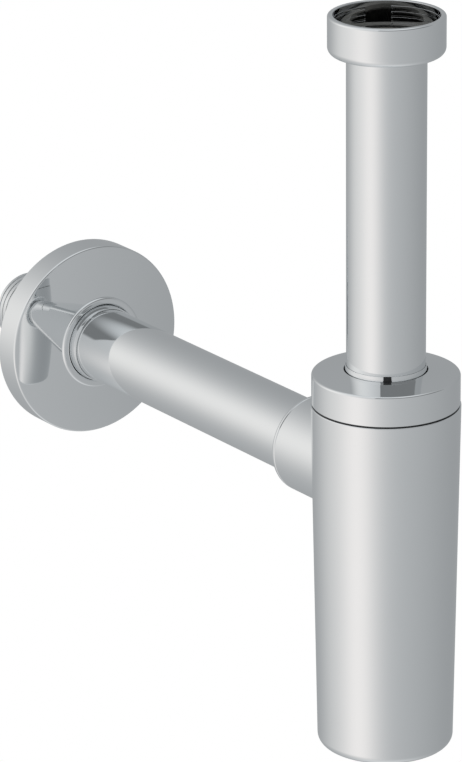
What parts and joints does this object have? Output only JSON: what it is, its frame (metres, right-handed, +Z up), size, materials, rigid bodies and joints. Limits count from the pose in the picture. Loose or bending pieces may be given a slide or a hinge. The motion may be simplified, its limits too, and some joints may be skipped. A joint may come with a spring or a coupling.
{
  "type": "bottle trap",
  "caption": "Chrome bottle trap for a washbasin: union nut, sliding dip tube, sealed bottle with a screwed cap, horizontal outlet pipe and sliding wall rosette.",
  "frame": {"origin": "on the dip tube's axis, on the top face of the flat gasket in the inlet union, where the basin's waste seals", "axes": "+Z up along the dip tube, out of the inlet; +Y horizontal along the outlet pipe, towards the wall"},
  "size_m": [0.0848, 0.2983, 0.309],
  "materials": {
    "chrome_plated_brass": "polished chrome plate on brass",
    "turned_brass": "turned, unplated",
    "seal_rubber": "matte moulded rubber",
    "gasket_rubber": "matte flat washer",
    "nylon": "moulded, natural"
  },
  "bodies": {
    "union_nut": {"inlet_union_nut": "chrome_plated_brass"},
    "union_washer": {"inlet_slip_ring": "nylon"},
    "inlet_tube": {"dip_tube": "chrome_plated_brass", "inlet_flat_gasket": "gasket_rubber"},
    "seal_pack": {"cap_wedge_seal": "seal_rubber", "cap_split_ring": "chrome_plated_brass"},
    "bottle": {"bottle_shell": "chrome_plated_brass", "neck_ring": "turned_brass", "body_rim_seal": "seal_rubber", "outlet_socket": "chrome_plated_brass", "outlet_mouth_ring": "chrome_plated_brass"},
    "cap_washer": {"cap_slip_ring": "nylon"},
    "cap": {"cap_nut": "chrome_plated_brass"},
    "pipe_seal": {"outlet_lip_seal": "seal_rubber"},
    "pipe": {"outlet_pipe": "chrome_plated_brass"},
    "rosette_grip": {"rosette_sleeve": "chrome_plated_brass"},
    "rosette": {"wall_rosette": "chrome_plated_brass"}
  },
  "joints": [
    {"name": "inlet_swivel", "type": "hinge", "parent": "union_nut", "child": "union_washer", "pos_m": [0, 0, 0], "axis": [0, 0, 1], "continuous": true},
    {"name": "tube_lift", "type": "slide", "parent": "union_washer", "child": "inlet_tube", "axis": [0, 0, 1], "range_m": [0, 0.1]},
    {"name": "height_adjust", "type": "slide", "parent": "inlet_tube", "child": "seal_pack", "axis": [0, 0, 1], "range_m": [-0.05, 0.02]},
    {"name": "bottle_swivel", "type": "hinge", "parent": "seal_pack", "child": "bottle", "pos_m": [0, 0, -0.145], "axis": [0, 0, 1], "continuous": true},
    {"name": "cap_lift", "type": "slide", "parent": "bottle", "child": "cap_washer", "axis": [0, 0, 1], "range_m": [0, 0.0082]},
    {"name": "cap_turn", "type": "hinge", "parent": "cap_washer", "child": "cap", "pos_m": [0, 0, -0.145], "axis": [0, 0, 1], "range_deg": [0, 1260]},
    {"name": "outlet_turn", "type": "hinge", "parent": "bottle", "child": "pipe_seal", "pos_m": [0, 0.038, -0.1828], "axis": [0, 1, 0], "continuous": true},
    {"name": "outlet_slide", "type": "slide", "parent": "pipe_seal", "child": "pipe", "axis": [0, 1, 0], "range_m": [-0.006, 0.012]},
    {"name": "rosette_slide", "type": "slide", "parent": "pipe", "child": "rosette_grip", "axis": [0, 1, 0], "range_m": [-0.145, 0.04]},
    {"name": "rosette_turn", "type": "hinge", "parent": "rosette_grip", "child": "rosette", "pos_m": [0, 0.212, -0.1828], "axis": [0, 1, 0], "continuous": true}
  ],
  "couplings": [
    {"joint": "cap_lift", "follows": "cap_turn", "m_per_rad": 0.00036749}
  ]
}
